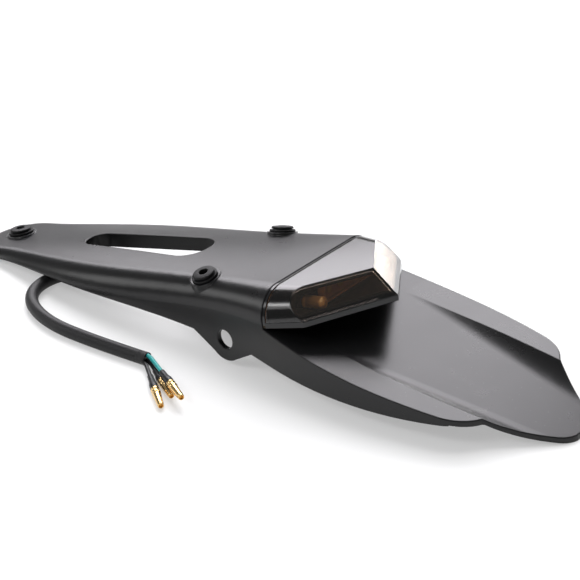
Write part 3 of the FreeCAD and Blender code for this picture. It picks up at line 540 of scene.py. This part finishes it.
def bulletSection(b):
    bottom = b["end"] - b["boreDeep"]
    return roundCorners([
        (hair, 0), (b["body"], 0), (b["body"], b["pinchFrom"]),
        (b["pinch"], b["pinchFrom"] + b["pinchRamp"]), (b["pinch"], b["pinchTo"] - b["pinchRamp"]),
        (b["body"], b["pinchTo"]), (b["body"], b["crimp"]),
        (b["neck"], b["waist"]), (b["barrel"], b["shoulder"]), (b["taper"], b["nose"]),
        (b["tip"], b["end"]), (b["bore"], b["end"]), (b["bore"], bottom), (hair, bottom),
    ], b["rounds"])


bulletSlit = {"from": bulletShape["shoulder"], "to": bulletShape["nose"], "deep": bulletShape["slitDeep"]}
onCable = [mouth]
for name, lead in leads.items():
    wire = addLead("lead" + name.capitalize(), lead["route"], leadRadius, lead["finish"])
    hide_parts("wire_" + name)
    crimp = Vector(lead["route"][-1])
    heading = (crimp - Vector(lead["route"][-2])).normalized()
    sleeve = turned("sleeve" + name.capitalize(), sleeveSection(sleeveShape, lead["sleeve"]),
                    crimp - heading * lead["sleeve"], heading, blackInsulation, sleeveShape["sides"])
    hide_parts("sleeve_" + name)
    bullet = turned("bullet" + name.capitalize(), bulletSection(bulletShape), crimp, heading, brightBrass,
                    bulletShape["sides"], bulletSlit)
    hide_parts("bullet_" + name)
    onCable += [sleeve, bullet]
print("cable, leads and bullets laid")


# rubber grommets: two lips above the tray with a groove between, one lip below
grommetShape = {
    "bore": 0.0025, "lip": 0.0075, "groove": 0.0056, "crown": 0.0064, "neck": 0.0052, "underLip": 0.007,
    "bottom": -0.0049, "underTop": -0.0029, "seat": 0.0015, "lipTop": 0.0029, "grooveTop": 0.0035,
    "top": 0.0049, "crownDrop": 0.0003, "sides": 64,
    "rounds": {1: 0.0004, 2: 0.0007, 3: 0.0003, 6: 0.0004, 7: 0.00055, 8: 0.0002, 9: 0.0002,
               10: 0.0003, 11: 0.00085, 12: 0.0005},
}


def grommetSection(g):
    return roundCorners([
        (g["bore"], 0), (g["bore"], g["bottom"]), (g["underLip"], g["bottom"]),
        (g["underLip"], g["underTop"]), (g["neck"], g["underTop"]), (g["neck"], g["seat"]),
        (g["lip"], g["seat"]), (g["lip"], g["lipTop"]), (g["groove"], g["lipTop"]),
        (g["groove"], g["grooveTop"]), (g["crown"], g["grooveTop"]),
        (g["crown"], g["top"] - g["crownDrop"]), (g["bore"], g["top"]), (g["bore"], 0),
    ], g["rounds"])


for name in ("front", "left", "right"):
    mount = mounts["grommet_%s_bore" % name]
    grommet = turned("grommet" + name.capitalize(), grommetSection(grommetShape), mount["pos_m"],
                     mount["axis"], grommetRubber, grommetShape["sides"])
    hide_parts("grommet_" + name)
print("grommets seated")


# inside the light: brass inserts with grooved barrel and domed tip, light sources with a dome on a chip
insertShape = {
    "barrel": 0.0036, "ring": 0.0031, "reach": 0.0236, "dome": 0.0014, "tipShare": 0.45, "proud": 0.0015,
    "grooves": (0.2, 0.34, 0.48), "grooveRamp": 0.0003, "grooveWide": 0.0006,
    "footRound": 0.0003, "domeRound": 0.001, "tipRound": 0.0006, "sides": 48,
}
sourceShape = {
    "count": 4, "base": 0.0048, "baseHigh": 0.0005, "baseRound": 0.0002, "dome": 0.0019, "high": 0.00115,
    "sink": 0.0006, "steps": 8, "sides": 32,
}


def middleOf(node):
    low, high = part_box(node)
    return (Vector(low) + Vector(high)) / 2


def insertSection(s):
    half = s["reach"] / 2
    ramp = s["grooveRamp"]
    outline = [(hair, -half), (s["barrel"], -half)]
    for step in s["grooves"]:
        start = -half + s["reach"] * step
        stop = start + 2 * ramp + s["grooveWide"]
        outline += [(s["barrel"], start), (s["ring"], start + ramp)]
        outline += [(s["ring"], stop - ramp), (s["barrel"], stop)]
    outline += [(s["barrel"], half - s["dome"]), (s["barrel"] * s["tipShare"], half), (hair, half)]
    last = len(outline) - 1
    return roundCorners(outline, {1: s["footRound"], last - 2: s["domeRound"], last - 1: s["tipRound"]})


for name in ("left", "right"):
    seat = middleOf("insert_" + name) + plateBack * insertShape["proud"]
    insert = turned("insert" + name.capitalize(), insertSection(insertShape), seat, plateBack, insertBrass,
                    insertShape["sides"])
    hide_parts("insert_" + name)


def sourceSection(s):
    rise = s["high"] - s["baseHigh"]
    outline = [(hair, 0), (s["base"] / 2, 0), (s["base"] / 2, s["baseHigh"]), (s["dome"], s["baseHigh"])]
    for k in range(1, s["steps"]):
        turn = math.pi / 2 * k / s["steps"]
        outline.append((s["dome"] * math.cos(turn), s["baseHigh"] + rise * math.sin(turn)))
    outline.append((hair, s["high"]))
    return roundCorners(outline, {2: s["baseRound"]})


for i in range(1, sourceShape["count"] + 1):
    node = "led_%d" % i
    seat = middleOf(node) - plateBack * sourceShape["sink"]
    source = turned("lightSource%d" % i, sourceSection(sourceShape), seat, plateBack, ledPhosphor,
                    sourceShape["sides"])
    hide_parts(node)


# black shroud just inside the lens: arched sheet under its top and sides, rim round the sloping windows;
# flat, round and deep give the value at the seam and its change along the run
shroudShape = {
    "from": 0.0525, "seam": 0.0522, "run": 0.0598, "clear": 0.0003, "thick": 0.00025,
    "flat": (0.0357, -0.0122), "round": (0.0153, -0.006), "deep": (0.0027, 0.0027),
    "facetAt": 0.0888, "facetDeep": 0.0019, "facetLean": 0.92, "facetSweep": 0.626, "facetWall": 0.0036,
    "floor": 0.0163, "sill": 0.0148, "sillReach": 0.0472, "rim": 0.0011,
    "bendSteps": 12, "flatSteps": 16, "runSteps": 12, "sillSteps": 32, "meetTries": 12,
}


def onPlate(x, y, deep):
    return plateOrigin + plateBack * x + Vector((0, y, 0)) - plateUp * deep


# rails run along the shroud: up one bend, over the flat top and down the other bend
def shroudRails(s):
    quarter = math.pi / 2
    turns = [quarter * k / s["bendSteps"] for k in range(1, s["bendSteps"] + 1)]
    shares = [1 - 2 * k / s["flatSteps"] for k in range(1, s["flatSteps"])]
    rails = [(1, turn, 1) for turn in turns]
    rails += [(1, quarter, share) for share in shares]
    rails += [(-1, turn, 1) for turn in turns[::-1]]
    return rails


def shroudPoint(s, rail, x, inset):
    side, turn, share = rail
    t = (x - s["seam"]) / s["run"]
    flat = s["flat"][0] + s["flat"][1] * t
    bend = s["round"][0] + s["round"][1] * t - s["clear"] - inset
    top = s["deep"][0] + s["deep"][1] * t + s["clear"] + inset
    y = side * flat * share + side * bend * math.cos(turn)
    return y, min(top + bend * (1 - math.sin(turn)), s["floor"])


# place along the plate of a window's inner face
def facetX(s, y, deep):
    outside = s["facetAt"] + s["facetLean"] * (deep - s["facetDeep"]) - s["facetSweep"] * abs(y)
    return outside - s["facetWall"] - s["clear"]


# where a rail meets the window, by repeated tries
def facetMeet(s, rail, inset):
    x = s["facetAt"]
    for _ in range(s["meetTries"]):
        x = facetX(s, *shroudPoint(s, rail, x, inset))
    return x


def addShroud(s):
    mesh = bmesh.new()
    rows = []
    last = s["runSteps"]
    for rail in shroudRails(s):
        meet = facetMeet(s, rail, 0)
        row = []
        for k in range(last + 1):
            x = s["from"] + (meet - s["from"]) * k / last
            row.append(mesh.verts.new(onPlate(x, *shroudPoint(s, rail, x, 0))))
        inner = facetMeet(s, rail, s["rim"])
        row.append(mesh.verts.new(onPlate(inner, *shroudPoint(s, rail, inner, s["rim"]))))
        rows.append(row)
    for near, far in zip(rows, rows[1:]):
        for k in range(len(near) - 1):
            mesh.faces.new((near[k], near[k + 1], far[k + 1], far[k]))
    sill = []
    for k in range(s["sillSteps"] + 1):
        y = s["sillReach"] * (1 - 2 * k / s["sillSteps"])
        pair = [mesh.verts.new(onPlate(facetX(s, y, deep), y, deep)) for deep in (s["sill"], s["floor"])]
        sill.append(pair)
    for near, far in zip(sill, sill[1:]):
        mesh.faces.new((near[0], near[1], far[1], far[0]))
    for k in range(last):
        mesh.faces.new((rows[0][k], rows[0][k + 1], rows[-1][k + 1], rows[-1][k]))
    mesh.faces.new([rows[0][last]] + [pair[1] for pair in sill] + [rows[-1][last]])
    bmesh.ops.recalc_face_normals(mesh, faces=mesh.faces)
    data = bpy.data.meshes.new("lightShroud")
    mesh.to_mesh(data)
    mesh.free()
    for face in data.polygons:
        face.use_smooth = True
    piece = bpy.data.objects.new("lightShroud", data)
    bpy.context.scene.collection.objects.link(piece)
    wall = piece.modifiers.new("wall", "SOLIDIFY")
    wall.thickness = s["thick"]
    data.materials.append(shroudBlack)
    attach(piece, "root")


addShroud(shroudShape)
print("light's inside dressed")


# pale floor and studio light: two soft boxes behind, small ones for the far window, the front and the
# near shoulder, a high fill that shows in no gloss, and a weak sky
white = (1, 1, 1)
coolWhite = (0.98, 0.955, 1.0)
studio = {
    "floorSize": 24.0,
    "floorTone": (0.52, 0.52, 0.525),
    "floorRough": 0.7,
    "floorShine": 0.1,
    "floorGlow": 0.4,
    "skyStrength": 0.2,
    "aim": (0.02, 0.0, 0.05),
    "lamps": {
        "lowBackBox": {"place": (-0.82, 1.16, 0.56), "size": (1.7, 0.3), "power": 5.8, "inGloss": True,
                       "tone": coolWhite},
        "highBackBox": {"place": (-0.82, 1.08, 1.1), "size": (1.55, 0.74), "power": 21.5, "inGloss": True,
                        "tone": coolWhite},
        "backGlow": {"place": (-0.26, 1.45, 0.09), "size": (0.55, 0.16), "power": 3.0, "inGloss": True},
        "frontStrip": {"place": (-0.15, -0.85, 0.82), "size": (0.6, 0.16), "power": 1.8, "inGloss": True},
        "frontSoft": {"place": (-0.16, -0.88, 0.84), "size": (0.6, 0.5), "power": 1.7, "inGloss": True},
        "leftGlow": {"place": (-0.97, -0.58, 0.5), "size": (0.5, 0.42), "power": 2.1, "inGloss": True},
        "highFill": {"place": (-0.5, 1.0, 2.2), "size": (2.0, 2.0), "power": 55.0, "inGloss": False},
    },
}


def addFloor(s):
    mesh = bpy.data.meshes.new("studioFloor")
    half = s["floorSize"] / 2
    corners = [(-half, -half, 0), (half, -half, 0), (half, half, 0), (-half, half, 0)]
    mesh.from_pydata(corners, [], [(0, 1, 2, 3)])
    floor = bpy.data.objects.new("studioFloor", mesh)
    bpy.context.scene.collection.objects.link(floor)
    material, tree, shader = newMaterial("studioFloor")
    setInputs(shader, Base_Color=(*s["floorTone"], 1), Emission_Color=(*white, 1))
    setInputs(shader, Roughness=s["floorRough"], Specular_IOR_Level=s["floorShine"])
    path = tree.nodes.new("ShaderNodeLightPath")
    seen = path.outputs["Is Camera Ray"]
    for other in ("Is Glossy Ray", "Is Transmission Ray"):
        either = addNode(tree, "ShaderNodeMath", operation="MAXIMUM")
        tree.links.new(seen, either.inputs[0])
        tree.links.new(path.outputs[other], either.inputs[1])
        seen = either.outputs[0]
    glow = addNode(tree, "ShaderNodeMath", operation="MULTIPLY")
    glow.inputs[1].default_value = s["floorGlow"]
    tree.links.new(seen, glow.inputs[0])
    tree.links.new(glow.outputs[0], shader.inputs["Emission Strength"])
    mesh.materials.append(material)


def addSoftBox(name, aim, lamp):
    data = bpy.data.lights.new(name, "AREA")
    data.shape = "RECTANGLE"
    data.size, data.size_y = lamp["size"]
    data.energy = lamp["power"]
    data.color = lamp.get("tone", white)
    box = bpy.data.objects.new(name, data)
    box.location = lamp["place"]
    box.rotation_euler = (Vector(aim) - Vector(lamp["place"])).to_track_quat("-Z", "Y").to_euler()
    box.visible_camera = False
    box.visible_glossy = lamp["inGloss"]
    bpy.context.scene.collection.objects.link(box)


def addSky(s):
    world = bpy.data.worlds.new("studioSky")
    world.use_nodes = True
    bpy.context.scene.world = world
    setInputs(world.node_tree.nodes["Background"], Color=(*white, 1), Strength=s["skyStrength"])


addFloor(studio)
for name, lamp in studio["lamps"].items():
    addSoftBox(name, studio["aim"], lamp)
addSky(studio)
print("floor and light set")
